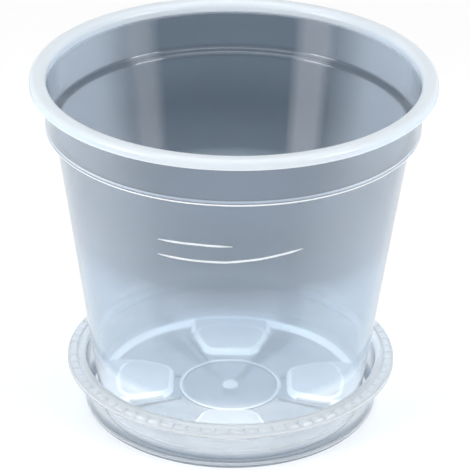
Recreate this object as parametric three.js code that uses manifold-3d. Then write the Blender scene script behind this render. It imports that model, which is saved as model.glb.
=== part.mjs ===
// Clear orchid pot with a rolled rim and raised drain tunnels, standing in a saucer with a fluted flange.
// Millimetres, +Z up, origin on the surface that the saucer stands on, under the middle of the pot.
import * as THREE from 'three';
import { mergeVertices } from 'three/addons/utils/BufferGeometryUtils.js';
import Module from 'manifold-3d';

const wasm = await Module();
wasm.setup();

// Pot: overall sizes
const POT_HEIGHT = 133.1;
const RIM_RADIUS = 75;
const POT_WALL = 1.1;
const POT_FLOOR = 1.2;

// Pot: rolled rim, which hangs over the collar as an upside-down channel
const RIM_OVERHANG = 5;
const RIM_DROP = 3.8;
const RIM_ROLL_OUTSIDE = 2;
const RIM_ROLL_INSIDE = 2.4;
const RIM_LIP_ROUND = 0.4;

// Pot: collar, the ledge under it and the tapered body
const COLLAR_HEIGHT = 20.5;
const COLLAR_DRAFT = 0.02;
const LEDGE_WIDTH = 3.4;
const LEDGE_ROUND = 1.2;
const BODY_TAPER = 0.139;
const BASE_ROUND = 3;
const BASE_FILLET = 3;

// Pot: ring and gate mark in the middle of the floor
const FLOOR_RING_RADIUS = 19;
const FLOOR_RING_WIDTH = 2;
const FLOOR_RING_HEIGHT = 0.7;
const GATE_RADIUS = 3;
const GATE_HEIGHT = 0.8;

// Pot: drain tunnels, fan-shaped humps on the floor with a slot in each side
const TUNNEL_COUNT = 4;
const TUNNEL_RISE = 2.9;
const TUNNEL_ROOF = 1.2;
const TUNNEL_SIDE = 1.2;
const TUNNEL_INNER_RADIUS = 23;
const TUNNEL_OUTER_RADIUS = 44.5;
const TUNNEL_INNER_WIDTH = 19;
const TUNNEL_FLARE = 0.37;
const TUNNEL_BULGE = 3.5;
const TUNNEL_INNER_ROUND = 5;
const TUNNEL_OUTER_ROUND = 7;
const TUNNEL_END_ROUND = 20;
const TUNNEL_EDGE_ROUND = 1.8;
const DRAIN_SLOT_RADIUS = 32;
const DRAIN_SLOT_LENGTH = 13;

// Pot: mouths, lower passages that lead from the tunnels out through the wall at the foot
const MOUTH_WIDTH = 30;
const MOUTH_STEP = 0.6;

// Saucer: overall sizes
const SAUCER_HEIGHT = 20.2;
const SAUCER_WALL = 1.1;
const SAUCER_FLOOR = 1.2;
const SAUCER_CLEARANCE = 3;
const SAUCER_DRAFT = 0.04;
const SAUCER_BASE_ROUND = 2.2;

// Saucer: foot ring below and rest ribs above the floor
const SAUCER_FOOT_HEIGHT = 0.5;
const SAUCER_FOOT_WIDTH = 4;
const REST_RIB_COUNT = 8;
const REST_RIB_HEIGHT = 0.9;
const REST_RIB_WIDTH = 1.6;
const REST_RIB_LENGTH = 26;
const REST_RIB_INSET = 4;

// Saucer: flange with a turned-down skirt, radial flutes on top and a smooth crest inside them
const FLANGE_WIDTH = 5.8;
const FLANGE_THICKNESS = 1.2;
const FLANGE_SKIRT = 1.9;
const FLANGE_DROP = 1;
const FLANGE_EDGE_ROUND = 0.6;
const CREST_WIDTH = 3.1;
const FLUTE_COUNT = 72;
const FLUTE_HEIGHT = 1;
const FLUTE_RAMP = 0.5;

// Gap that keeps the pot's underside clear of the ribs that carry it
const SEAT_GAP = 0.3;

// Facets
const POT_SEGMENTS = 72;
const STEPS_PER_FLUTE = 2;
const ARC_STEP_LENGTH = 1.5;
const ARC_STEP_ANGLE = Math.PI / 9;
const BEVEL_STEPS = 3;
const SAME_POINT = 0.2;
const CUT_MARGIN = 5;

// Heights worked out from the sizes above
const saucerFloorTop = SAUCER_FOOT_HEIGHT + SAUCER_FLOOR;
const restTop = saucerFloorTop + REST_RIB_HEIGHT;
const potFoot = restTop + SEAT_GAP;
const potFloorTop = potFoot + POT_FLOOR;
const potTop = potFoot + POT_HEIGHT;
const rimUnderside = potTop - POT_WALL;
const rimLow = potTop - RIM_DROP;
const ledgeUnderside = potTop - COLLAR_HEIGHT;
const ledgeTop = ledgeUnderside + POT_WALL;
const tunnelTop = potFloorTop + TUNNEL_RISE;
const tunnelCeiling = tunnelTop - TUNNEL_ROOF;
const mouthTop = tunnelTop - MOUTH_STEP;
const mouthCeiling = tunnelCeiling - MOUTH_STEP;
const flangeTop = SAUCER_HEIGHT - FLANGE_DROP;
const flangeUnderside = flangeTop - FLANGE_THICKNESS;
const skirtLow = flangeTop - FLANGE_SKIRT;

// Radii worked out from the sizes above
const collarTopRadius = RIM_RADIUS - RIM_OVERHANG;
const collarLowRadius = collarTopRadius - COLLAR_DRAFT * COLLAR_HEIGHT;
const bodyTopRadius = collarLowRadius - LEDGE_WIDTH;
const bodyRadiusAt = (z) => bodyTopRadius - BODY_TAPER * (ledgeUnderside - z);
const potFootRadius = bodyRadiusAt(potFoot);
const saucerInnerTop = bodyRadiusAt(SAUCER_HEIGHT) + SAUCER_CLEARANCE;
const saucerInnerAt = (z) => saucerInnerTop - SAUCER_DRAFT * (SAUCER_HEIGHT - z);
const saucerOuterAt = (z) => saucerInnerAt(z) + SAUCER_WALL;
const flangeRadius = saucerOuterAt(flangeTop) + FLANGE_WIDTH;
const crestOuter = saucerInnerTop + CREST_WIDTH;
const fluteOuter = flangeRadius - FLANGE_EDGE_ROUND;

// A corner of a profile, with the radius of its rounding
function corner(r, z, round = 0) {
  return { point: new THREE.Vector2(r, z), round };
}

// Points of the arc that rounds one corner between its neighbours, no longer than half of either side
function roundedCorner(before, at, after) {
  const back = before.point.clone().sub(at.point);
  const ahead = after.point.clone().sub(at.point);
  const halfAngle = Math.acos(back.dot(ahead) / (back.length() * ahead.length())) / 2;
  const reach = Math.min(at.round / Math.tan(halfAngle), back.length() / 2, ahead.length() / 2);
  const radius = reach * Math.tan(halfAngle);
  const start = back.clone().setLength(reach);
  const end = ahead.clone().setLength(reach);
  const centre = start.clone().add(end).setLength(radius / Math.sin(halfAngle));
  const from = start.clone().sub(centre).angle();
  const sweep = Math.PI - 2 * halfAngle;
  const turn = back.cross(ahead) > 0 ? -sweep : sweep;
  const steps = Math.ceil(Math.min((radius * sweep) / ARC_STEP_LENGTH, sweep / ARC_STEP_ANGLE));
  return Array.from({ length: steps + 1 }, (_, step) => {
    const angle = from + (turn * step) / steps;
    const spoke = new THREE.Vector2(Math.cos(angle), Math.sin(angle)).multiplyScalar(radius);
    return at.point.clone().add(centre).add(spoke);
  });
}

// Profile through the corners, with the first and last left sharp
function profile(corners) {
  return corners.flatMap((at, index) => {
    const inside = index > 0 && index < corners.length - 1;
    return inside && at.round > 0 ? roundedCorner(corners[index - 1], at, corners[index + 1]) : [at.point];
  });
}

// Closed shape through rounded corners, with one point where two arcs meet
function roundedShape(corners) {
  const count = corners.length;
  const points = corners.flatMap((at, index) => {
    const before = corners[(index + count - 1) % count];
    const after = corners[(index + 1) % count];
    return at.round > 0 ? roundedCorner(before, at, after) : [at.point];
  });
  return new THREE.Shape(points.filter((point, index) => point.distanceTo(points.at(index - 1)) > SAME_POINT));
}

// Turns a profile about the Z axis
function revolve(points, segments) {
  return new THREE.LatheGeometry(points, segments).rotateX(Math.PI / 2);
}

// Extrudes a plan from one height to another
function extrude(shape, low, high, bevel = 0) {
  const settings = {
    depth: high - low - 2 * bevel,
    bevelEnabled: bevel > 0,
    bevelThickness: bevel,
    bevelSize: bevel,
    bevelOffset: -bevel,
    bevelSegments: BEVEL_STEPS,
  };
  return new THREE.ExtrudeGeometry(shape, settings).translate(0, 0, low + bevel);
}

// Closed solid of a geometry, with its shared points merged and its empty triangles left out
function solidOf(geometry) {
  const bare = geometry.clone();
  bare.deleteAttribute('normal');
  bare.deleteAttribute('uv');
  const merged = mergeVertices(bare);
  const index = merged.index.array;
  const triangles = [];
  for (let i = 0; i < index.length; i += 3) {
    const [a, b, c] = index.slice(i, i + 3);
    if (a !== b && b !== c && c !== a) {
      triangles.push(a, b, c);
    }
  }
  const vertProperties = new Float32Array(merged.attributes.position.array);
  const triVerts = new Uint32Array(triangles);
  return new wasm.Manifold(new wasm.Mesh({ numProp: 3, vertProperties, triVerts }));
}

// Named mesh of a solid
function meshOf(name, solid, material) {
  const { vertProperties, triVerts } = solid.getMesh();
  const geometry = new THREE.BufferGeometry();
  geometry.setAttribute('position', new THREE.BufferAttribute(vertProperties, 3));
  geometry.setIndex(new THREE.BufferAttribute(triVerts, 1));
  geometry.computeVertexNormals();
  const mesh = new THREE.Mesh(geometry, material);
  mesh.name = name;
  return mesh;
}

// Copies of a geometry, spread evenly round the Z axis
function aroundAxis(geometry, count, firstAngle = 0) {
  return Array.from({ length: count }, (_, i) => {
    const angle = firstAngle + (i * 2 * Math.PI) / count;
    return solidOf(geometry.clone().rotateZ(angle));
  });
}

// Outside of the pot from under the floor up to the edge of the rim
function potOutside() {
  return [
    corner(0, potFoot),
    corner(potFootRadius, potFoot, BASE_ROUND),
    corner(bodyTopRadius, ledgeUnderside, LEDGE_ROUND),
    corner(collarLowRadius, ledgeUnderside, LEDGE_ROUND),
    corner(collarTopRadius, rimUnderside, RIM_ROLL_INSIDE - POT_WALL),
    corner(RIM_RADIUS - POT_WALL, rimUnderside, RIM_ROLL_OUTSIDE - POT_WALL),
    corner(RIM_RADIUS - POT_WALL, rimLow, RIM_LIP_ROUND),
    corner(RIM_RADIUS, rimLow, RIM_LIP_ROUND),
  ];
}

// Inside of the pot from the edge of the rim down to the middle of the floor
function potInside() {
  const ringOuter = FLOOR_RING_RADIUS + FLOOR_RING_WIDTH / 2;
  const ringInner = FLOOR_RING_RADIUS - FLOOR_RING_WIDTH / 2;
  const ringTop = potFloorTop + FLOOR_RING_HEIGHT;
  const gateTop = potFloorTop + GATE_HEIGHT;
  return [
    corner(RIM_RADIUS, potTop, RIM_ROLL_OUTSIDE),
    corner(collarTopRadius - POT_WALL, potTop, RIM_ROLL_INSIDE),
    corner(collarLowRadius - POT_WALL, ledgeTop, LEDGE_ROUND),
    corner(bodyTopRadius - POT_WALL, ledgeTop, LEDGE_ROUND),
    corner(bodyRadiusAt(potFloorTop) - POT_WALL, potFloorTop, BASE_FILLET),
    corner(ringOuter, potFloorTop),
    corner(FLOOR_RING_RADIUS, ringTop),
    corner(ringInner, potFloorTop),
    corner(GATE_RADIUS, potFloorTop),
    corner(GATE_RADIUS, gateTop),
    corner(0, gateTop),
  ];
}

// Half of a tunnel's width at a distance from the axis
function tunnelHalfWidth(distance) {
  return TUNNEL_INNER_WIDTH / 2 + TUNNEL_FLARE * (distance - TUNNEL_INNER_RADIUS);
}

// Plan of a tunnel along +X, a fan with a bulging outer end, grown all round
function tunnelPlan(grow) {
  const inner = TUNNEL_INNER_RADIUS - grow;
  const outer = TUNNEL_OUTER_RADIUS + grow;
  const shoulder = outer - TUNNEL_BULGE;
  const halfInner = tunnelHalfWidth(inner) + grow;
  const halfOuter = tunnelHalfWidth(shoulder) + grow;
  return roundedShape([
    corner(inner, -halfInner, TUNNEL_INNER_ROUND + grow),
    corner(shoulder, -halfOuter, TUNNEL_OUTER_ROUND + grow),
    corner(outer, 0, TUNNEL_END_ROUND + grow),
    corner(shoulder, halfOuter, TUNNEL_OUTER_ROUND + grow),
    corner(inner, halfInner, TUNNEL_INNER_ROUND + grow),
  ]);
}

// Plan of a passage along +X, of even width on both sides of the axis
function passagePlan(inner, outer, halfWidth) {
  return roundedShape([
    corner(inner, -halfWidth),
    corner(outer, -halfWidth),
    corner(outer, halfWidth),
    corner(inner, halfWidth),
  ]);
}

// Pot, with the tunnels and mouths raised from its floor, hollowed out from below and slotted at the sides
function makePot() {
  const shell = solidOf(revolve(profile([...potOutside(), ...potInside()]), POT_SEGMENTS));
  const bodyEnvelope = solidOf(revolve(profile([
    corner(0, potFoot),
    corner(potFootRadius, potFoot, BASE_ROUND),
    corner(bodyTopRadius, ledgeUnderside),
    corner(0, ledgeUnderside),
  ]), POT_SEGMENTS));

  const mouthInner = TUNNEL_OUTER_RADIUS - TUNNEL_OUTER_ROUND;
  const mouthOuter = potFootRadius + CUT_MARGIN;
  const slotInner = DRAIN_SLOT_RADIUS - DRAIN_SLOT_LENGTH / 2;
  const slotOuter = DRAIN_SLOT_RADIUS + DRAIN_SLOT_LENGTH / 2;
  const slotHalfWidth = tunnelHalfWidth(slotOuter) + TUNNEL_SIDE + CUT_MARGIN;
  const roofPlan = passagePlan(mouthInner, mouthOuter, MOUTH_WIDTH / 2 + TUNNEL_SIDE);
  const mouthPlan = passagePlan(mouthInner, mouthOuter, MOUTH_WIDTH / 2);
  const slotPlan = passagePlan(slotInner, slotOuter, slotHalfWidth);

  const humpLow = potFoot - TUNNEL_EDGE_ROUND;
  const voidLow = potFoot - CUT_MARGIN;
  const humps = [
    extrude(tunnelPlan(TUNNEL_SIDE), humpLow, tunnelTop, TUNNEL_EDGE_ROUND),
    extrude(roofPlan, humpLow, mouthTop, TUNNEL_EDGE_ROUND),
  ].flatMap((geometry) => aroundAxis(geometry, TUNNEL_COUNT));
  const cuts = [
    extrude(tunnelPlan(0), voidLow, tunnelCeiling),
    extrude(mouthPlan, voidLow, mouthCeiling),
    extrude(slotPlan, potFloorTop, tunnelCeiling),
  ].flatMap((geometry) => aroundAxis(geometry, TUNNEL_COUNT));

  const raised = humps.reduce((solid, hump) => solid.add(hump.intersect(bodyEnvelope)), shell);
  return cuts.reduce((solid, cut) => solid.subtract(cut), raised);
}

// Profile of the saucer from under its floor, round the flange and back to the middle of the floor
function saucerProfile() {
  const footOuter = saucerOuterAt(0);
  const footInner = footOuter - SAUCER_BASE_ROUND - SAUCER_FOOT_WIDTH;
  const skirtInner = flangeRadius - SAUCER_WALL;
  return profile([
    corner(0, SAUCER_FOOT_HEIGHT),
    corner(footInner - SAUCER_FOOT_HEIGHT, SAUCER_FOOT_HEIGHT),
    corner(footInner, 0),
    corner(footOuter, 0, SAUCER_BASE_ROUND),
    corner(saucerOuterAt(flangeUnderside), flangeUnderside),
    corner(skirtInner, flangeUnderside),
    corner(skirtInner, skirtLow),
    corner(flangeRadius, skirtLow),
    corner(flangeRadius, flangeTop - FLANGE_EDGE_ROUND),
    corner(fluteOuter, flangeTop),
    corner(fluteOuter - FLUTE_RAMP, flangeTop),
    corner(crestOuter + FLUTE_RAMP, flangeTop),
    corner(crestOuter, flangeTop),
    corner(crestOuter - FLANGE_DROP, SAUCER_HEIGHT),
    corner(saucerInnerTop, SAUCER_HEIGHT, CREST_WIDTH / 2),
    corner(saucerInnerAt(saucerFloorTop), saucerFloorTop, SAUCER_BASE_ROUND),
    corner(0, saucerFloorTop),
  ]);
}

// Raises the flange's top in radial flutes, between the crest and the outer edge
function flute(geometry) {
  const position = geometry.attributes.position;
  const low = crestOuter + FLUTE_RAMP / 2;
  const high = fluteOuter - FLUTE_RAMP / 2;
  for (let i = 0; i < position.count; i += 1) {
    const radius = Math.hypot(position.getX(i), position.getY(i));
    const onTop = position.getZ(i) > (flangeUnderside + flangeTop) / 2;
    if (onTop && radius > low && radius < high) {
      const angle = Math.atan2(position.getY(i), position.getX(i));
      const rise = (FLUTE_HEIGHT * (1 + Math.cos(FLUTE_COUNT * angle))) / 2;
      position.setZ(i, position.getZ(i) + rise);
    }
  }
  return geometry;
}

// Saucer, with rest ribs across its floor that keep the pot above the run-off
function makeSaucer() {
  const dish = solidOf(flute(revolve(saucerProfile(), FLUTE_COUNT * STEPS_PER_FLUTE)));
  const outerEnd = potFootRadius - REST_RIB_INSET;
  const low = saucerFloorTop - SAUCER_FLOOR / 2;
  const rib = new THREE.BoxGeometry(REST_RIB_LENGTH, REST_RIB_WIDTH, restTop - low);
  rib.translate(outerEnd - REST_RIB_LENGTH / 2, 0, (low + restTop) / 2);
  const ribs = aroundAxis(rib, REST_RIB_COUNT, Math.PI / REST_RIB_COUNT);
  return ribs.reduce((solid, one) => solid.add(one), dish);
}

// Moulded polypropylene, clear with a cool haze
const potMaterial = new THREE.MeshStandardMaterial({
  color: 0xb9c6d4,
  roughness: 0.18,
  metalness: 0,
  transparent: true,
  opacity: 0.4,
});
const saucerMaterial = new THREE.MeshStandardMaterial({
  color: 0xc6d0da,
  roughness: 0.2,
  metalness: 0,
  transparent: true,
  opacity: 0.45,
});

const orchidPot = new THREE.Group();
orchidPot.add(meshOf('saucer', makeSaucer(), saucerMaterial));
orchidPot.add(meshOf('pot', makePot(), potMaterial));

export default orchidPot;
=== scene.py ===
import math

import bpy
from mathutils import Matrix, Vector


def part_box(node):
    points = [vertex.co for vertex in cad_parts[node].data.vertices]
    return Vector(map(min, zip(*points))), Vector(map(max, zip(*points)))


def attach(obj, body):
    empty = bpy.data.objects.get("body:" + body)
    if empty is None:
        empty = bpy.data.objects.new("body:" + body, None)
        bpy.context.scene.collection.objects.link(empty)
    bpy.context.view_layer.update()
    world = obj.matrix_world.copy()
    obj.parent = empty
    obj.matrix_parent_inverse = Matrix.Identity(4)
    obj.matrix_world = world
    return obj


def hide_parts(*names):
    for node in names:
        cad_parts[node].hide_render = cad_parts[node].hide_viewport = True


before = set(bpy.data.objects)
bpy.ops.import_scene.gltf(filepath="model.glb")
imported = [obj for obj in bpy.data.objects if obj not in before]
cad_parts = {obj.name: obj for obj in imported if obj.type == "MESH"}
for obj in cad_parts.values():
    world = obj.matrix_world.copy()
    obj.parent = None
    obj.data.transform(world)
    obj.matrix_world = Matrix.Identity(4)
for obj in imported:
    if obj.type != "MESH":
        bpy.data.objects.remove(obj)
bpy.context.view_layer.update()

# Clear orchid pot standing in its saucer: both mouldings are modelled again with fine rounds,
# given their plastic, and set on a pale floor under soft light.

MM = 0.001

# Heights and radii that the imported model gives
POT_LOW, POT_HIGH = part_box("pot")
POT_FOOT = POT_LOW[2]
POT_TOP = POT_HIGH[2]
RIM_RADIUS = POT_HIGH[0]
SAUCER_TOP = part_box("saucer")[1][2]

# Pot: wall, rim, collar and body
POT_WALL = 1.1 * MM
POT_FLOOR = 1.2 * MM
RIM_OVERHANG = 5 * MM
RIM_DROP = 3.8 * MM
RIM_ROLL_OUTSIDE = 2 * MM
RIM_ROLL_INSIDE = 2.4 * MM
RIM_LIP_ROUND = 0.4 * MM
COLLAR_HEIGHT = 20.5 * MM
COLLAR_DRAFT = 0.02
LEDGE_WIDTH = 3.4 * MM
LEDGE_ROUND = 1.2 * MM
BODY_TAPER = 0.139
BASE_ROUND = 3 * MM
BASE_FILLET = 3 * MM

# Pot: floor ring, gate mark, drain tunnels and their mouths
FLOOR_RING_RADIUS = 19 * MM
FLOOR_RING_WIDTH = 2 * MM
FLOOR_RING_HEIGHT = 0.7 * MM
FLOOR_RING_FOOT_ROUND = 0.4 * MM
FLOOR_RING_TOP_ROUND = 0.6 * MM
GATE_RADIUS = 3 * MM
GATE_HEIGHT = 0.8 * MM
GATE_ROUND = 0.75 * MM
TUNNEL_COUNT = 4
TUNNEL_RISE = 2.9 * MM
TUNNEL_ROOF = 1.2 * MM
TUNNEL_SIDE = 1.2 * MM
TUNNEL_INNER_RADIUS = 23 * MM
TUNNEL_OUTER_RADIUS = 44.5 * MM
TUNNEL_INNER_WIDTH = 19 * MM
TUNNEL_FLARE = 0.37
TUNNEL_BULGE = 3.5 * MM
TUNNEL_INNER_ROUND = 5 * MM
TUNNEL_OUTER_ROUND = 7 * MM
TUNNEL_END_ROUND = 20 * MM
TUNNEL_EDGE_ROUND = 2.4 * MM
DRAIN_SLOT_RADIUS = 32 * MM
DRAIN_SLOT_LENGTH = 13 * MM
SLOT_LIP = 0.1 * MM
MOUTH_WIDTH = 30 * MM
MOUTH_STEP = 0.6 * MM

# Pot: creases pressed into the front wall, as degrees round the axis and millimetres up;
# the step along them is in degrees, and the taper is in steps
CREASES = [
    [(-114.4, 97.0), (-102, 97.3), (-88.4, 97.1)],
    [(-114.8, 90.6), (-103, 90.3), (-92, 90.4), (-81, 91.6), (-65.2, 94.1)],
]
CREASE_STEP = 1.5
CREASE_RADIUS = 0.42 * MM
CREASE_TAPER = 4

# Saucer: wall, floor, foot ring and rest ribs
SAUCER_WALL = 1.1 * MM
SAUCER_FLOOR = 1.2 * MM
SAUCER_CLEARANCE = 3 * MM
SAUCER_DRAFT = 0.04
SAUCER_BASE_ROUND = 2.2 * MM
SAUCER_FOOT_HEIGHT = 0.5 * MM
SAUCER_FOOT_WIDTH = 4 * MM
REST_RIB_COUNT = 8
REST_RIB_HEIGHT = 0.9 * MM
REST_RIB_WIDTH = 1.6 * MM
REST_RIB_LENGTH = 26 * MM
REST_RIB_INSET = 4 * MM
REST_RIB_ROUND = 0.3 * MM

# Saucer: flange with a turned-down skirt, flutes and a smooth crest
FLANGE_WIDTH = 5.8 * MM
FLANGE_THICKNESS = 1.2 * MM
FLANGE_SKIRT = 1.9 * MM
FLANGE_DROP = 1 * MM
FLANGE_EDGE_ROUND = 0.6 * MM
FLANGE_UNDER_ROUND = 0.5 * MM
SKIRT_ROUND = 0.3 * MM
CREST_WIDTH = 3.1 * MM
CREST_FOOT_ROUND = 0.3 * MM
CREST_TOP_ROUND = 0.5 * MM
FLUTE_COUNT = 72
FLUTE_HEIGHT = 1 * MM
FLUTE_RAMP = 0.5 * MM

# Fineness of the meshes
POT_SIDES = 192
GATE_SIDES = 32
STEPS_PER_FLUTE = 8
FLUTE_STEP_SLACK = 0.1 / STEPS_PER_FLUTE
EDGE_SEGMENTS = 4
CREASE_FINENESS = 2
ARC_STEP = math.radians(15)
WELD = 0.001 * MM
LONG_RUN = 8 * MM
HOLD = 0.4 * MM
CUT_MARGIN = 5 * MM
SMOOTH_ANGLE = math.radians(32)

# Heights and radii worked out from the sizes above
POT_FLOOR_TOP = POT_FOOT + POT_FLOOR
RIM_UNDERSIDE = POT_TOP - POT_WALL
RIM_LOW = POT_TOP - RIM_DROP
LEDGE_UNDERSIDE = POT_TOP - COLLAR_HEIGHT
LEDGE_TOP = LEDGE_UNDERSIDE + POT_WALL
TUNNEL_TOP = POT_FLOOR_TOP + TUNNEL_RISE
TUNNEL_CEILING = TUNNEL_TOP - TUNNEL_ROOF
MOUTH_TOP = TUNNEL_TOP - MOUTH_STEP
MOUTH_CEILING = TUNNEL_CEILING - MOUTH_STEP
SAUCER_FLOOR_TOP = SAUCER_FOOT_HEIGHT + SAUCER_FLOOR
REST_TOP = SAUCER_FLOOR_TOP + REST_RIB_HEIGHT
FLANGE_TOP = SAUCER_TOP - FLANGE_DROP
FLANGE_UNDERSIDE = FLANGE_TOP - FLANGE_THICKNESS
SKIRT_LOW = FLANGE_TOP - FLANGE_SKIRT
COLLAR_TOP_RADIUS = RIM_RADIUS - RIM_OVERHANG
COLLAR_LOW_RADIUS = COLLAR_TOP_RADIUS - COLLAR_DRAFT * COLLAR_HEIGHT
BODY_TOP_RADIUS = COLLAR_LOW_RADIUS - LEDGE_WIDTH


def body_radius(height):
    """Outside radius of the tapered body at a height."""
    return BODY_TOP_RADIUS - BODY_TAPER * (LEDGE_UNDERSIDE - height)


def saucer_inner(height):
    """Inside radius of the saucer's wall at a height."""
    return body_radius(SAUCER_TOP) + SAUCER_CLEARANCE - SAUCER_DRAFT * (SAUCER_TOP - height)


def saucer_outer(height):
    """Outside radius of the saucer's wall at a height."""
    return saucer_inner(height) + SAUCER_WALL


POT_FOOT_RADIUS = body_radius(POT_FOOT)
FLANGE_RADIUS = saucer_outer(FLANGE_TOP) + FLANGE_WIDTH
CREST_OUTER = saucer_inner(SAUCER_TOP) + CREST_WIDTH
FLUTE_OUTER = FLANGE_RADIUS - FLANGE_EDGE_ROUND


# Modelling helpers

def rounded(corners, hold=0.0):
    """Points of an outline of corners, each two coordinates and a rounding that is drawn as an arc.

    With a hold, a long straight run gets a point that far from each end and more points between them,
    so that it is shaded straight.
    """
    points = []
    for index, (x, y, rounding) in enumerate(corners):
        at = Vector((x, y))
        arc = [at]
        if rounding and 0 < index < len(corners) - 1:
            back = Vector(corners[index - 1][:2]) - at
            ahead = Vector(corners[index + 1][:2]) - at
            half = back.angle(ahead) / 2
            reach = min(rounding / math.tan(half), back.length / 2, ahead.length / 2)
            start = at + back.normalized() * reach
            centre = at + (back.normalized() + ahead.normalized()).normalized() * (reach / math.cos(half))
            sweep = math.pi - 2 * half
            turn = sweep if back.cross(ahead) < 0 else -sweep
            steps = max(2, math.ceil(sweep / ARC_STEP))
            arc = [centre + Matrix.Rotation(turn * step / steps, 2) @ (start - centre)
                   for step in range(steps + 1)]
        if hold and points and (arc[0] - points[-1]).length > LONG_RUN:
            run = (arc[0] - points[-1]).normalized() * hold
            first, last = points[-1] + run, arc[0] - run
            pieces = math.ceil((last - first).length / LONG_RUN)
            points += [first.lerp(last, step / pieces) for step in range(pieces + 1)]
        points += arc
    return points


def select_only(piece):
    """Leaves edit mode, selects one object and makes it active."""
    if bpy.context.mode != "OBJECT":
        bpy.ops.object.mode_set(mode="OBJECT")
    bpy.ops.object.select_all(action="DESELECT")
    piece.select_set(True)
    bpy.context.view_layer.objects.active = piece


def pick(piece, test):
    """Selects the vertices of a piece whose place passes a test, and goes to edit mode."""
    select_only(piece)
    bpy.ops.object.mode_set(mode="EDIT")
    bpy.ops.mesh.select_mode(type="VERT")
    bpy.ops.mesh.select_all(action="DESELECT")
    bpy.ops.object.mode_set(mode="OBJECT")
    for vertex in piece.data.vertices:
        vertex.select = test(vertex.co)
    bpy.ops.object.mode_set(mode="EDIT")


def close_mesh():
    """Merges doubled points and points the faces outwards, in edit mode."""
    bpy.ops.mesh.select_all(action="SELECT")
    bpy.ops.mesh.remove_doubles(threshold=WELD)
    bpy.ops.mesh.normals_make_consistent(inside=False)
    bpy.ops.object.mode_set(mode="OBJECT")


def drawn(name, points):
    """Draws a chain of edges by extruding a point from place to place, and stays in edit mode."""
    bpy.ops.object.select_all(action="DESELECT")
    bpy.ops.mesh.primitive_plane_add(size=MM, location=points[0])
    piece = bpy.context.object
    piece.name = name
    bpy.ops.object.transform_apply(location=True, rotation=True, scale=True)
    bpy.ops.object.mode_set(mode="EDIT")
    bpy.ops.mesh.merge(type="CENTER")
    for here, there in zip(points, points[1:]):
        bpy.ops.mesh.extrude_vertices_move(TRANSFORM_OT_translate={"value": tuple(there - here)})
    bpy.ops.mesh.select_all(action="SELECT")
    return piece


def turned(name, corners, steps, angle=2 * math.pi):
    """Draws an outline of (radius, height, rounding) corners and spins it about the Z axis."""
    piece = drawn(name, [Vector((r, 0, z)) for r, z in rounded(corners, HOLD)])
    bpy.ops.mesh.spin(steps=steps, angle=angle, center=(0, 0, 0), axis=(0, 0, 1))
    close_mesh()
    return piece


def raised(name, corners, low, high, edge_round=0.0):
    """Draws a closed plan of (x, y, rounding) corners, fills it, raises it and rounds its top edge."""
    piece = drawn(name, [Vector((x, y, low)) for x, y in rounded(corners)])
    bpy.ops.mesh.remove_doubles(threshold=WELD)
    bpy.ops.mesh.edge_face_add()
    bpy.ops.mesh.extrude_region_move(TRANSFORM_OT_translate={"value": (0, 0, high - low)})
    close_mesh()
    if edge_round:
        pick(piece, lambda co: co.z > high - WELD)
        bpy.ops.mesh.bevel(offset=edge_round, segments=EDGE_SEGMENTS, affect="EDGES")
        bpy.ops.object.mode_set(mode="OBJECT")
    return piece


def around(piece, count, first=0.0):
    """Replaces a piece by copies set evenly round the Z axis and joined into one object."""
    copies = []
    for index in range(count):
        copy = piece.copy()
        copy.data = piece.data.copy()
        bpy.context.collection.objects.link(copy)
        copy.data.transform(Matrix.Rotation(first + index * 2 * math.pi / count, 4, "Z"))
        copies.append(copy)
    bpy.data.objects.remove(piece)
    select_only(copies[0])
    for copy in copies:
        copy.select_set(True)
    bpy.ops.object.join()
    return bpy.context.object


def combine(piece, tool, operation):
    """Joins, cuts or intersects a piece with a tool solid, and removes the tool."""
    select_only(piece)
    modifier = piece.modifiers.new(operation.lower(), "BOOLEAN")
    modifier.operation = operation
    modifier.solver = "EXACT"
    modifier.material_mode = "TRANSFER"
    modifier.object = tool
    bpy.ops.object.modifier_apply(modifier=modifier.name)
    bpy.data.objects.remove(tool)


def give_pale_and_shaded_skins(piece, outside, inside):
    """Gives a moulding its pale outside and its darker inside, which is painted shade: the inside one goes
    on faces that look to the axis or up.
    """
    piece.data.materials.clear()
    piece.data.materials.append(outside)
    piece.data.materials.append(inside)
    for face in piece.data.polygons:
        inward = -face.normal.xy.dot(face.center.xy.normalized())
        face.material_index = int(max(inward, face.normal.z) > INSIDE_FROM)


def smooth(piece):
    """Shades a finished moulding smooth, with its real edges kept crisp."""
    select_only(piece)
    bpy.ops.object.mode_set(mode="EDIT")
    close_mesh()
    bpy.ops.object.shade_smooth_by_angle(angle=SMOOTH_ANGLE)


# Pot

def tunnel_half_width(distance):
    """Half of a drain tunnel's width at a distance from the axis."""
    return TUNNEL_INNER_WIDTH / 2 + TUNNEL_FLARE * (distance - TUNNEL_INNER_RADIUS)


def tunnel_plan(grow):
    """Plan of a drain tunnel along +X, a fan with a bulging outer end, grown all round."""
    inner = TUNNEL_INNER_RADIUS - grow
    outer = TUNNEL_OUTER_RADIUS + grow
    shoulder = outer - TUNNEL_BULGE
    half_inner = tunnel_half_width(inner) + grow
    half_outer = tunnel_half_width(shoulder) + grow
    return [
        (inner, 0, 0),
        (inner, -half_inner, TUNNEL_INNER_ROUND + grow),
        (shoulder, -half_outer, TUNNEL_OUTER_ROUND + grow),
        (outer, 0, TUNNEL_END_ROUND + grow),
        (shoulder, half_outer, TUNNEL_OUTER_ROUND + grow),
        (inner, half_inner, TUNNEL_INNER_ROUND + grow),
        (inner, 0, 0),
    ]


def passage_plan(inner, outer, half_width):
    """Plan of even width along +X, between two distances from the axis."""
    return [
        (inner, 0, 0),
        (inner, -half_width, 0),
        (outer, -half_width, 0),
        (outer, half_width, 0),
        (inner, half_width, 0),
        (inner, 0, 0),
    ]


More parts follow.
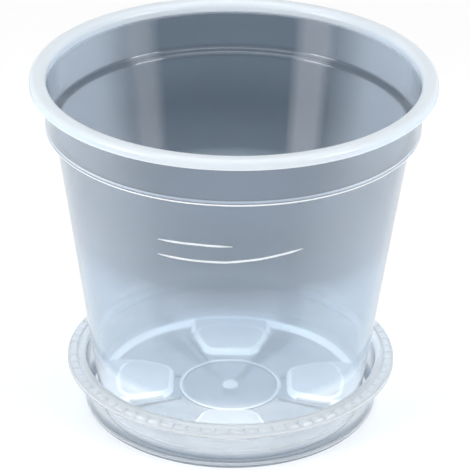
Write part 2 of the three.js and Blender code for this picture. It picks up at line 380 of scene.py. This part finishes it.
def pot_outline():
    """Outline of the pot from under its floor, round the rim and back to the middle of the floor."""
    ring_outer = FLOOR_RING_RADIUS + FLOOR_RING_WIDTH / 2
    ring_inner = FLOOR_RING_RADIUS - FLOOR_RING_WIDTH / 2
    return [
        (0, POT_FOOT, 0),
        (POT_FOOT_RADIUS, POT_FOOT, BASE_ROUND),
        (BODY_TOP_RADIUS, LEDGE_UNDERSIDE, LEDGE_ROUND),
        (COLLAR_LOW_RADIUS, LEDGE_UNDERSIDE, LEDGE_ROUND),
        (COLLAR_TOP_RADIUS, RIM_UNDERSIDE, RIM_ROLL_INSIDE - POT_WALL),
        (RIM_RADIUS - POT_WALL, RIM_UNDERSIDE, RIM_ROLL_OUTSIDE - POT_WALL),
        (RIM_RADIUS - POT_WALL, RIM_LOW, RIM_LIP_ROUND),
        (RIM_RADIUS, RIM_LOW, RIM_LIP_ROUND),
        (RIM_RADIUS, POT_TOP, RIM_ROLL_OUTSIDE),
        (COLLAR_TOP_RADIUS - POT_WALL, POT_TOP, RIM_ROLL_INSIDE),
        (COLLAR_LOW_RADIUS - POT_WALL, LEDGE_TOP, LEDGE_ROUND),
        (BODY_TOP_RADIUS - POT_WALL, LEDGE_TOP, LEDGE_ROUND),
        (body_radius(POT_FLOOR_TOP) - POT_WALL, POT_FLOOR_TOP, BASE_FILLET),
        (ring_outer, POT_FLOOR_TOP, FLOOR_RING_FOOT_ROUND),
        (FLOOR_RING_RADIUS, POT_FLOOR_TOP + FLOOR_RING_HEIGHT, FLOOR_RING_TOP_ROUND),
        (ring_inner, POT_FLOOR_TOP, FLOOR_RING_FOOT_ROUND),
        (0, POT_FLOOR_TOP, 0),
    ]


def make_crease(path):
    """Fine ridge along a path on the outside of the wall, thinning out to both ends."""
    points = []
    for (angle, height), (next_angle, next_height) in zip(path, path[1:]):
        steps = math.ceil((next_angle - angle) / CREASE_STEP)
        for step in range(steps):
            turn = math.radians(angle + (next_angle - angle) * step / steps)
            z = (height + (next_height - height) * step / steps) * MM
            points.append(Vector((body_radius(z) * math.cos(turn), body_radius(z) * math.sin(turn), z)))
    crease = drawn("crease", points)
    bpy.ops.object.mode_set(mode="OBJECT")
    bpy.ops.object.convert(target="CURVE")
    crease = bpy.context.object
    crease.data.bevel_depth = CREASE_RADIUS
    crease.data.bevel_resolution = CREASE_FINENESS
    crease.data.use_fill_caps = True
    line = crease.data.splines[0].points
    for index, point in enumerate(line):
        point.radius = min(1, (1 + min(index, len(line) - 1 - index)) / CREASE_TAPER)
    bpy.ops.object.convert(target="MESH")
    return bpy.context.object


def make_gate_mark():
    """Button in the middle of the floor, where the plastic ran into the mould."""
    low = POT_FLOOR_TOP - POT_FLOOR / 2
    high = POT_FLOOR_TOP + GATE_HEIGHT
    outline = [(0, low, 0), (GATE_RADIUS, low, 0), (GATE_RADIUS, high, GATE_ROUND), (0, high, 0)]
    return turned("gate_mark", outline, GATE_SIDES)


def make_pot():
    """Pot, with tunnels raised from its floor, hollowed from below and opened at mouths and slots."""
    pot = turned("pot_moulding", pot_outline(), POT_SIDES)
    mouth_inner = TUNNEL_OUTER_RADIUS - TUNNEL_OUTER_ROUND
    mouth_outer = POT_FOOT_RADIUS + CUT_MARGIN
    slot_inner = DRAIN_SLOT_RADIUS - DRAIN_SLOT_LENGTH / 2
    slot_outer = DRAIN_SLOT_RADIUS + DRAIN_SLOT_LENGTH / 2
    slot_half = tunnel_half_width(slot_outer) + TUNNEL_SIDE + CUT_MARGIN
    roof_plan = passage_plan(mouth_inner, mouth_outer, MOUTH_WIDTH / 2 + TUNNEL_SIDE)
    mouth_plan = passage_plan(mouth_inner, mouth_outer, MOUTH_WIDTH / 2)
    slot_plan = passage_plan(slot_inner, slot_outer, slot_half)

    # The humps end in the middle of the floor and the wall, so no two faces of the join lie in one plane
    middle = POT_FOOT + POT_FLOOR / 2
    envelope_outline = [
        (0, middle, 0),
        (body_radius(middle) - POT_WALL / 2, middle, BASE_ROUND),
        (BODY_TOP_RADIUS - POT_WALL / 2, LEDGE_UNDERSIDE, 0),
        (0, LEDGE_UNDERSIDE, 0),
    ]
    humps = [
        raised("tunnel_hump", tunnel_plan(TUNNEL_SIDE), POT_FOOT, TUNNEL_TOP, TUNNEL_EDGE_ROUND),
        raised("mouth_roof", roof_plan, POT_FOOT, MOUTH_TOP, TUNNEL_EDGE_ROUND),
    ]
    for hump in humps:
        humps_around = around(hump, TUNNEL_COUNT)
        combine(humps_around, turned("body_envelope", envelope_outline, POT_SIDES), "INTERSECT")
        combine(pot, humps_around, "UNION")
    cuts = [
        raised("tunnel_void", tunnel_plan(0), POT_FOOT - CUT_MARGIN, TUNNEL_CEILING),
        raised("mouth_void", mouth_plan, POT_FOOT - CUT_MARGIN, MOUTH_CEILING),
        raised("drain_slot", slot_plan, POT_FLOOR_TOP + SLOT_LIP, TUNNEL_CEILING - SLOT_LIP),
    ]
    for cut in cuts:
        combine(pot, around(cut, TUNNEL_COUNT), "DIFFERENCE")

    outside = clear_polypropylene("clear_polypropylene_pot_outside", POT_OUTSIDE, POT_ROUND_HIGHLIGHT,
                                  POT_SLANT_OUTSIDE, POT_SATIN)
    inside = clear_polypropylene("clear_polypropylene_pot_inside", POT_INSIDE, POT_ROUND_HIGHLIGHT,
                                 POT_SLANT_INSIDE, POT_SATIN)
    give_pale_and_shaded_skins(pot, outside, inside)
    whitened = whitened_and_highlight_polypropylene()
    # The gate mark is whitened as a painted highlight; the creases are stress-whitened
    for mark in [make_gate_mark()] + [make_crease(path) for path in CREASES]:
        mark.data.materials.append(whitened)
        combine(pot, mark, "UNION")
    smooth(pot)
    return pot


# Saucer

def saucer_outline():
    """Outline of the saucer from under its floor, round the flange and back to the middle of the floor."""
    foot_outer = saucer_outer(0)
    foot_inner = foot_outer - SAUCER_BASE_ROUND - SAUCER_FOOT_WIDTH
    skirt_inner = FLANGE_RADIUS - SAUCER_WALL
    return [
        (0, SAUCER_FOOT_HEIGHT, 0),
        (foot_inner - SAUCER_FOOT_HEIGHT, SAUCER_FOOT_HEIGHT, 0),
        (foot_inner, 0, 0),
        (foot_outer, 0, SAUCER_BASE_ROUND),
        (saucer_outer(FLANGE_UNDERSIDE), FLANGE_UNDERSIDE, FLANGE_UNDER_ROUND),
        (skirt_inner, FLANGE_UNDERSIDE, SKIRT_ROUND),
        (skirt_inner, SKIRT_LOW, SKIRT_ROUND),
        (FLANGE_RADIUS, SKIRT_LOW, SKIRT_ROUND),
        (FLANGE_RADIUS, FLANGE_TOP, FLANGE_EDGE_ROUND),
        (FLUTE_OUTER - FLUTE_RAMP, FLANGE_TOP, 0),
        ((FLUTE_OUTER + CREST_OUTER) / 2, FLANGE_TOP, 0),
        (CREST_OUTER + FLUTE_RAMP, FLANGE_TOP, 0),
        (CREST_OUTER, FLANGE_TOP, CREST_FOOT_ROUND),
        (CREST_OUTER - FLANGE_DROP, SAUCER_TOP, CREST_TOP_ROUND),
        (saucer_inner(SAUCER_TOP), SAUCER_TOP, CREST_WIDTH / 2),
        (saucer_inner(SAUCER_FLOOR_TOP), SAUCER_FLOOR_TOP, SAUCER_BASE_ROUND),
        (0, SAUCER_FLOOR_TOP, 0),
    ]


def raise_flute(sector):
    """Lifts the flange's top in one sector into a round flute that falls to a groove at both sides."""
    pitch = 2 * math.pi / FLUTE_COUNT
    low = CREST_OUTER + FLUTE_RAMP / 2
    high = FLUTE_OUTER - FLUTE_RAMP / 2
    for step in range(1, STEPS_PER_FLUTE):
        share = step / STEPS_PER_FLUTE

        def on_flute(co):
            turned_to = abs(math.atan2(co.y, co.x)) / pitch
            on_top = co.z > FLANGE_TOP - WELD and low < math.hypot(co.x, co.y) < high
            return on_top and abs(turned_to - share) < FLUTE_STEP_SLACK

        pick(sector, on_flute)
        bpy.ops.transform.translate(value=(0, 0, FLUTE_HEIGHT * (1 - (2 * share - 1) ** 2)))
    bpy.ops.object.mode_set(mode="OBJECT")


def make_saucer():
    """Saucer, put together from one sector for each flute, with the rest ribs across its floor."""
    sector = turned("saucer_moulding", saucer_outline(), STEPS_PER_FLUTE, 2 * math.pi / FLUTE_COUNT)
    raise_flute(sector)
    saucer = around(sector, FLUTE_COUNT)
    saucer.name = "saucer_moulding"
    bpy.ops.object.mode_set(mode="EDIT")
    close_mesh()
    outer_end = POT_FOOT_RADIUS - REST_RIB_INSET
    rib_plan = passage_plan(outer_end - REST_RIB_LENGTH, outer_end, REST_RIB_WIDTH / 2)
    rib = raised("rest_rib", rib_plan, SAUCER_FLOOR_TOP - SAUCER_FLOOR / 2, REST_TOP, REST_RIB_ROUND)
    combine(saucer, around(rib, REST_RIB_COUNT, math.pi / REST_RIB_COUNT), "UNION")
    outside = clear_polypropylene("clear_polypropylene_saucer_outside", SAUCER_OUTSIDE, SAUCER_ROUND_SHADE,
                                  SAUCER_SLANT, SAUCER_SATIN)
    inside = clear_polypropylene("clear_polypropylene_saucer_inside", SAUCER_INSIDE, SAUCER_ROUND_SHADE,
                                 SAUCER_SLANT, SAUCER_SATIN)
    give_pale_and_shaded_skins(saucer, outside, inside)
    smooth(saucer)
    return saucer


# Materials

WHITE = "#ffffff"

# Looks by height: millimetres up, tint of one wall and share of the light that passes unscattered.
# The outside of each moulding is a little hazy and the inside clearer; the darker inside and the pot's
# darkening up the wall are painted shade for the shaded inside of the pot.
# The rim's pale milky look is partly a painted highlight, for the light gathered in its thick roll
RIM_SHADES = [
    (132.4, "#dbe1e6", 0.3),
    (140, "#dbe1e6", 0.3),
]
POT_OUTSIDE = [
    (0, "#eaeff3", 0.92),
    (3.2, "#eaeff3", 0.92),
    # Milky band over the tunnel roofs and the foot, here and inside: whiter haze that is partly a painted
    # highlight
    (3.8, "#f4f7f9", 0.5),
    (8.5, "#f4f7f9", 0.55),
    (12, "#f1f3f5", 0.9),
    (25, "#f1f3f5", 0.9),
    (29, "#d6dfe7", 0.87),
    (50, "#ccd7e0", 0.86),
    (62, "#c0ccd9", 0.82),
    (72, "#bcc8d6", 0.73),
    (90, "#b0bccb", 0.7),
    (131, "#aebac9", 0.69),
] + RIM_SHADES
POT_INSIDE = [
    (0, "#eaeff3", 0.92),
    (4.5, "#eaeff3", 0.92),
    (5.6, "#f2f5f7", 0.5),
    (7.2, "#f2f5f7", 0.55),
    (10, "#f1f3f5", 0.95),
    (25, "#f1f3f5", 0.95),
    (29, "#bac7d2", 0.97),
    (55, "#bcc9d4", 0.97),
    (66, "#a8b6c3", 0.97),
    # From here up the inside is very dark: painted shade for the shaded inside of the pot
    (78, "#404c56", 0.97),
    (98, "#38444e", 0.97),
    (112, "#4a5661", 0.97),
    (114.4, "#4a5661", 0.97),
    # Darker band at the inner ledge: painted shade over its reflection
    (115.4, "#3d4852", 0.98),
    (118, "#3d4852", 0.98),
    (119.4, "#4c5863", 0.97),
    (131, "#4e5a65", 0.96),
] + RIM_SHADES
FLANGE_SHADES = [
    (18.9, "#e2e6e9", 0.45),
    # Slightly darker at the foot of the flutes: painted shade in the grooves
    (19.2, "#d2d7dc", 0.45),
    (19.6, "#e2e6e9", 0.42),
    (22, "#e8ebee", 0.4),
]
SAUCER_OUTSIDE = [
    (0, "#e8eaec", 0.92),
    (2.6, "#e8eaec", 0.92),
    # Darker from 3.4 to 5.5 mm: painted shade low in the saucer, around the pot's foot
    (3.4, "#b4bdc6", 0.88),
    (5.5, "#b8c1c9", 0.88),
    (7.5, "#eef0f2", 0.88),
    (16, "#f3f4f5", 0.86),
] + FLANGE_SHADES
SAUCER_INSIDE = [
    (0, "#e8eaec", 0.92),
    (2.8, "#e8eaec", 0.92),
    # Darker from 3.4 to 5.5 mm: painted shade low in the saucer, around the pot's foot
    (3.4, "#8e98a3", 0.95),
    (5.5, "#929ca6", 0.95),
    (7.5, "#c8cdd1", 0.95),
    (16.5, "#c8cdd1", 0.95),
] + FLANGE_SHADES
# A face that leans this far to the axis, or up, takes the darker inside look, which is painted shade
INSIDE_FROM = 0.05

# Rounded corners, painted light: a painted highlight on the pot and painted shade on the saucer;
# tint, clarity, and the lowest and highest place of those that face up
POT_ROUND_HIGHLIGHT = ("#fcfdfd", 0.1, 4.4 * MM, 12 * MM)
SAUCER_ROUND_SHADE = ("#969da5", 0.7, 0, 5 * MM)
# Strength of that look, as a ramp's alpha, by how far a face is tilted from upright (0) to level (1)
ROUND_STOPS = [(0.16, WHITE, 0), (0.24, WHITE, 1), (0.96, WHITE, 1), (0.998, WHITE, 0)]

# Upright walls seen at a slant: their look, the slant at which it starts and is full, the heights
# between which it grows, and its strength at the lower and the upper one
SLANT_TINT = "#e4effa"
SLANT_CLARITY = 0.72
SLANT_FROM = 0.14
SLANT_TO = 0.4
SLANT_LOW = 30 * MM
SLANT_HIGH = 85 * MM
POT_SLANT_OUTSIDE = (0.45, 0.95)
POT_SLANT_INSIDE = (0.45, 0.72)
SAUCER_SLANT = (0.15, 0.15)
# Outline of the walls, a painted dark edge of shade: its look and the slant at which it starts
PAINTED_OUTLINE_TINT = "#7f8a95"
OUTLINE_CLARITY = 0.6
OUTLINE_FROM = 0.8

# Upright pale streaks: middle and width in degrees round the axis, and strength; the width of their
# soft edges is in degrees too. The two strong ones, on the back wall, are painted light streaks; the
# faint ones are uneven tone
TONE_AND_LIGHT_STREAKS = [
    (-141, 12, 0.05),
    (-38, 10, 0.03),
    (12, 14, 0.07),
    (62.6, 11, 0.48),
    (122.2, 9, 0.32),
    (168, 12, 0.07),
]
STREAK_SOFT = 4
STREAK_TINT = "#babfc7"
STREAK_CLARITY = 0.75

# Roughness of the polished walls, from best to worst, and what the satin rim and flange add to it
POLISH = (0.02, 0.08)
SATIN = 0.3
SATIN_FADE = 1.4 * MM
POT_SATIN = 132.4 * MM
SAUCER_SATIN = 18.5 * MM
PLASTIC_IOR = 1.49
# Slight waves in the walls
WAVE_LENGTH = 16 * MM
WAVE_HEIGHT = 0.015 * MM
# A wall has two skins, so each one takes the square root of the wall's tint from a lamp's light
SKIN_POWER = 0.5

# Plastic turned white: tint, roughness, length of its patches, the noise between the dullest and the
# clearest patch, and the light that passes unscattered in these
WHITENED_TINT = "#f6f8fa"
WHITENED_ROUGHNESS = 0.45
PATCH_LENGTH = 3 * MM
PATCH_NOISE = (0.3, 0.7)
PATCH_CLARITY = (0.05, 0.3)


def linear(hex_colour):
    """Linear colour of an sRGB hex value."""
    channels = [int(hex_colour[i:i + 2], 16) / 255 for i in (1, 3, 5)]
    return [c / 12.92 if c <= 0.04045 else ((c + 0.055) / 1.055) ** 2.4 for c in channels] + [1]


def node(tree, kind, inputs=None, stops=None, **properties):
    """Adds a node. An input takes a socket or a value, and stops are a ramp's (place, colour, alpha)."""
    made = tree.nodes.new(kind)
    for name, value in properties.items():
        setattr(made, name, value)
    for name, value in (inputs or {}).items():
        if isinstance(value, bpy.types.NodeSocket):
            tree.links.new(value, made.inputs[name])
        else:
            made.inputs[name].default_value = value
    for index, (place, colour, alpha) in enumerate(stops or []):
        elements = made.color_ramp.elements
        element = elements[index] if index < len(elements) else elements.new(place)
        element.position = place
        element.color = linear(colour)[:3] + [alpha]
    return made


def new_material(name):
    """Empty node material and its tree."""
    material = bpy.data.materials.new(name)
    material.use_nodes = True
    material.node_tree.nodes.clear()
    return material, material.node_tree


def clear_polypropylene(name, shades, round_look, slant_share, satin_from):
    """Clear polypropylene, moulded in a polished tool.

    To the eye it is a cool film, darker up the wall and on its inside faces as painted shade, paler where
    it is seen at a slant, with painted light on its rounded corners, a painted dark outline and painted
    light streaks, glossy walls with slight waves, and a satin edge at the top.
    """
    material, tree = new_material(name)
    round_tint, round_clarity, round_low, round_high = round_look
    place = node(tree, "ShaderNodeTexCoord")
    axes = node(tree, "ShaderNodeSeparateXYZ", {0: place.outputs["Object"]})
    height = axes.outputs["Z"]
    satin = node(tree, "ShaderNodeMapRange", {"Value": height, "From Min": satin_from - SATIN_FADE,
                                              "From Max": satin_from})

    # Tint and clarity by height; the darker bands of the tables are painted shade
    top = shades[-1][0]
    share = node(tree, "ShaderNodeMath", {0: height, 1: top * MM}, operation="DIVIDE")
    shade = node(tree, "ShaderNodeValToRGB", {0: share.outputs[0]},
                 stops=[(at / top, tint, clear) for at, tint, clear in shades])

    # Upright paler streaks that end below the satin edge: the two strong ones on the back wall are painted
    # light streaks, and the faint ones are uneven tone
    turn = node(tree, "ShaderNodeMath", {0: axes.outputs["Y"], 1: axes.outputs["X"]}, operation="ARCTAN2")
    way_round = node(tree, "ShaderNodeMapRange", {"Value": turn.outputs[0], "From Min": -math.pi,
                                                  "From Max": math.pi})
    stops = []
    for middle, width, strength in TONE_AND_LIGHT_STREAKS:
        for side, level in ((-width - STREAK_SOFT, 0), (-width + STREAK_SOFT, strength),
                            (width - STREAK_SOFT, strength), (width + STREAK_SOFT, 0)):
            stops.append((0.5 + (middle + side / 2) / 360, WHITE, level))
    streaks = node(tree, "ShaderNodeValToRGB", {0: way_round.outputs[0]}, stops=stops)
    streak = node(tree, "ShaderNodeMath", {0: streaks.outputs["Alpha"], 1: satin.outputs[0]},
                  operation="SUBTRACT", use_clamp=True)

    # Light runs further through an upright wall that is seen at a slant, so it looks paler there;
    # at the very edge a painted dark outline stands in for shade
    shape = node(tree, "ShaderNodeNewGeometry")
    normal = node(tree, "ShaderNodeSeparateXYZ", {0: shape.outputs["Normal"]})
    tilt = node(tree, "ShaderNodeMath", {0: normal.outputs["Z"]}, operation="ABSOLUTE")
    limit = node(tree, "ShaderNodeMapRange", {"Value": height, "From Min": SLANT_LOW,
                                              "From Max": SLANT_HIGH, "To Min": slant_share[0],
                                              "To Max": slant_share[1]})
    upright = node(tree, "ShaderNodeMath", {0: limit.outputs[0], 1: tilt.outputs[0]},
                   operation="SUBTRACT", use_clamp=True)
    view = node(tree, "ShaderNodeLayerWeight")
    slant = node(tree, "ShaderNodeMapRange", {"Value": view.outputs["Facing"], "From Min": SLANT_FROM,
                                              "From Max": SLANT_TO, "To Max": upright.outputs[0]},
                 interpolation_type="SMOOTHSTEP")
    outline = node(tree, "ShaderNodeMapRange", {"Value": view.outputs["Facing"],
                                                "From Min": OUTLINE_FROM})

    # Rounded corners that face down, and those near the floor that face up, get painted light: white for a
    # painted highlight on the pot, grey for painted shade on the saucer
    near_floor = node(tree, "ShaderNodeMath", {0: height, 1: (round_low + round_high) / 2,
                                               2: (round_high - round_low) / 2}, operation="COMPARE")
    down = node(tree, "ShaderNodeMath", {0: normal.outputs["Z"], 1: -1}, operation="MULTIPLY")
    up = node(tree, "ShaderNodeMath", {0: normal.outputs["Z"], 1: near_floor.outputs[0]},
              operation="MULTIPLY")
    leaning = node(tree, "ShaderNodeMath", {0: down.outputs[0], 1: up.outputs[0]}, operation="MAXIMUM")
    rounds = node(tree, "ShaderNodeValToRGB", {0: leaning.outputs[0]}, stops=ROUND_STOPS)

    colour = shade.outputs["Color"]
    clarity = shade.outputs["Alpha"]
    layers = [
        (streak.outputs[0], STREAK_TINT, STREAK_CLARITY),
        (slant.outputs[0], SLANT_TINT, SLANT_CLARITY),
        (outline.outputs[0], PAINTED_OUTLINE_TINT, OUTLINE_CLARITY),
        (rounds.outputs["Alpha"], round_tint, round_clarity),
    ]
    for mask, tint, clear in layers:
        colour = node(tree, "ShaderNodeMix", {0: mask, 6: colour, 7: linear(tint)},
                      data_type="RGBA").outputs[2]
        clarity = node(tree, "ShaderNodeMix", {0: mask, 2: clarity, 3: clear},
                       data_type="FLOAT").outputs[0]

    # Slight waves and a polish that varies, as on any thin moulding, up to the satin edge
    wave = node(tree, "ShaderNodeTexNoise", {"Vector": place.outputs["Object"], "Scale": 1 / WAVE_LENGTH})
    polish = node(tree, "ShaderNodeMapRange", {"Value": wave.outputs[0], "To Min": POLISH[0],
                                               "To Max": POLISH[1]})
    rough = node(tree, "ShaderNodeMath", {0: satin.outputs[0], 1: SATIN, 2: polish.outputs[0]},
                 operation="MULTIPLY_ADD")
    bump = node(tree, "ShaderNodeBump", {"Height": wave.outputs[0], "Distance": WAVE_HEIGHT})
    plastic = node(tree, "ShaderNodeBsdfPrincipled", {"Base Color": colour, "Roughness": rough.outputs[0],
                                                      "Transmission Weight": clarity,
                                                      "Normal": bump.outputs[0], "IOR": PLASTIC_IOR})

    # Lamplight passes through the thin walls, so the inside and the floor aren't left black
    path = node(tree, "ShaderNodeLightPath")
    skin = node(tree, "ShaderNodeGamma", {"Color": shade.outputs["Color"], "Gamma": SKIN_POWER})
    passing = node(tree, "ShaderNodeBsdfTransparent", {"Color": skin.outputs[0]})
    mixed = node(tree, "ShaderNodeMixShader", {0: path.outputs["Is Shadow Ray"], 1: plastic.outputs[0],
                                               2: passing.outputs[0]})
    node(tree, "ShaderNodeOutputMaterial", {"Surface": mixed.outputs[0]})
    return material


def whitened_and_highlight_polypropylene():
    """The same plastic turned white, milky, dull and uneven: stress-whitened where a bend has turned it
    white, and a painted highlight on the gate mark.
    """
    material, tree = new_material("whitened_and_highlight_polypropylene")
    place = node(tree, "ShaderNodeTexCoord")
    patches = node(tree, "ShaderNodeTexNoise", {"Vector": place.outputs["Object"],
                                                "Scale": 1 / PATCH_LENGTH})
    clear = node(tree, "ShaderNodeMapRange", {"Value": patches.outputs[0], "From Min": PATCH_NOISE[0],
                                              "From Max": PATCH_NOISE[1], "To Min": PATCH_CLARITY[0],
                                              "To Max": PATCH_CLARITY[1]})
    plastic = node(tree, "ShaderNodeBsdfPrincipled", {"Base Color": linear(WHITENED_TINT),
                                                      "Roughness": WHITENED_ROUGHNESS,
                                                      "Transmission Weight": clear.outputs[0],
                                                      "IOR": PLASTIC_IOR})
    node(tree, "ShaderNodeOutputMaterial", {"Surface": plastic.outputs[0]})
    return material


# Stage

# Paper floor, its size in metres
FLOOR_SIZE = 8
PAPER_TINT = "#f6f6f6"
PAPER_ROUGHNESS = 0.9
# Lift of the paper near the pot and far off, and the distances in metres between which it grows
NEAR_LIFT = 0.15
FAR_LIFT = 0.75
LIFT_FROM = 0.3
LIFT_TO = 1.2
# Strength of the light from all round
AMBIENT = 0.25
# Soft lamps: name, place, point that they face, width in metres and watts
SOFTBOXES = [
    ("overhead_softbox", (0, 0.1, 1.2), (0, 0, 0), 0.8, 7),
    ("left_softbox", (-1.15, -0.7, 0.45), (0, 0, 0.07), 0.5, 12),
    ("right_softbox", (1.15, -0.7, 0.45), (0, 0, 0.07), 0.5, 11),
]
# Camera: the point that its distance is taken from, the point that it faces, and its place and lens
CAMERA_CENTRE = Vector((0, 0, 0.07025))
CAMERA_AIM = Vector((0.0011, 0, 0.0692))
CAMERA_DISTANCE = 1.0065
CAMERA_ELEVATION = math.radians(27.11)
CAMERA_ROLL = math.radians(0.75)
CAMERA_LENS = 204.1
CAMERA_SENSOR = 36


def seen_rays(tree):
    """Share of 1 for rays that come from the camera, straight or by way of gloss and clear plastic."""
    path = node(tree, "ShaderNodeLightPath")
    seen = path.outputs["Is Camera Ray"]
    for kind in ("Is Glossy Ray", "Is Transmission Ray"):
        seen = node(tree, "ShaderNodeMath", {0: seen, 1: path.outputs[kind]},
                    operation="MAXIMUM").outputs[0]
    return seen


def floor_paper():
    """Matt white paper, lifted towards white where it is seen, and more where the lamps don't reach."""
    material, tree = new_material("matt_white_paper")
    place = node(tree, "ShaderNodeTexCoord")
    away = node(tree, "ShaderNodeVectorMath", {0: place.outputs["Object"]}, operation="LENGTH")
    level = node(tree, "ShaderNodeMapRange", {"Value": away.outputs["Value"], "From Min": LIFT_FROM,
                                              "From Max": LIFT_TO, "To Min": NEAR_LIFT,
                                              "To Max": FAR_LIFT}, interpolation_type="SMOOTHSTEP")
    lift = node(tree, "ShaderNodeMath", {0: seen_rays(tree), 1: level.outputs[0]}, operation="MULTIPLY")
    paper = node(tree, "ShaderNodeBsdfPrincipled", {"Base Color": linear(PAPER_TINT),
                                                    "Roughness": PAPER_ROUGHNESS,
                                                    "Emission Color": linear(WHITE),
                                                    "Emission Strength": lift.outputs[0]})
    node(tree, "ShaderNodeOutputMaterial", {"Surface": paper.outputs[0]})
    return material


def make_floor():
    """Paper floor that the saucer stands on."""
    bpy.ops.object.select_all(action="DESELECT")
    bpy.ops.mesh.primitive_plane_add(size=FLOOR_SIZE, location=(0, 0, 0))
    floor = bpy.context.object
    floor.name = "studio_floor"
    floor.data.materials.append(floor_paper())


def make_world():
    """Soft light from all round, seen as plain white."""
    world = bpy.data.worlds.new("studio_surround")
    bpy.context.scene.world = world
    world.use_nodes = True
    tree = world.node_tree
    tree.nodes.clear()
    ambient = node(tree, "ShaderNodeBackground", {"Color": linear(WHITE), "Strength": AMBIENT})
    white = node(tree, "ShaderNodeBackground", {"Color": linear(WHITE), "Strength": 1})
    mixed = node(tree, "ShaderNodeMixShader", {0: seen_rays(tree), 1: ambient.outputs[0],
                                               2: white.outputs[0]})
    node(tree, "ShaderNodeOutputWorld", {"Surface": mixed.outputs[0]})


def softbox(name, place, aim, size, watts):
    """Square soft lamp at a place, turned to what it lights."""
    light = bpy.data.lights.new(name, "AREA")
    light.shape = "SQUARE"
    light.size = size
    light.energy = watts
    lamp = bpy.data.objects.new(name, light)
    lamp.location = place
    lamp.rotation_euler = (Vector(aim) - Vector(place)).to_track_quat("-Z", "Y").to_euler()
    bpy.context.collection.objects.link(lamp)


def make_camera():
    """Camera at the photograph's angle."""
    data = bpy.data.cameras.new("photo_camera")
    data.sensor_width = CAMERA_SENSOR
    data.lens = CAMERA_LENS
    camera = bpy.data.objects.new("photo_camera", data)
    back = Vector((0, -math.cos(CAMERA_ELEVATION), math.sin(CAMERA_ELEVATION)))
    camera.location = CAMERA_CENTRE + back * CAMERA_DISTANCE
    turn = (CAMERA_AIM - camera.location).to_track_quat("-Z", "Y").to_matrix().to_4x4()
    camera.rotation_euler = (turn @ Matrix.Rotation(CAMERA_ROLL, 4, "Z")).to_euler()
    bpy.context.collection.objects.link(camera)
    bpy.context.scene.camera = camera


pot = make_pot()
saucer = make_saucer()
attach(pot, "pot")
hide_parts("pot")
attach(saucer, "saucer")
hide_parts("saucer")

make_floor()
make_world()
for name, place, aim, size, watts in SOFTBOXES:
    softbox(name, place, aim, size, watts)
make_camera()
bpy.context.scene.view_settings.view_transform = "Standard"
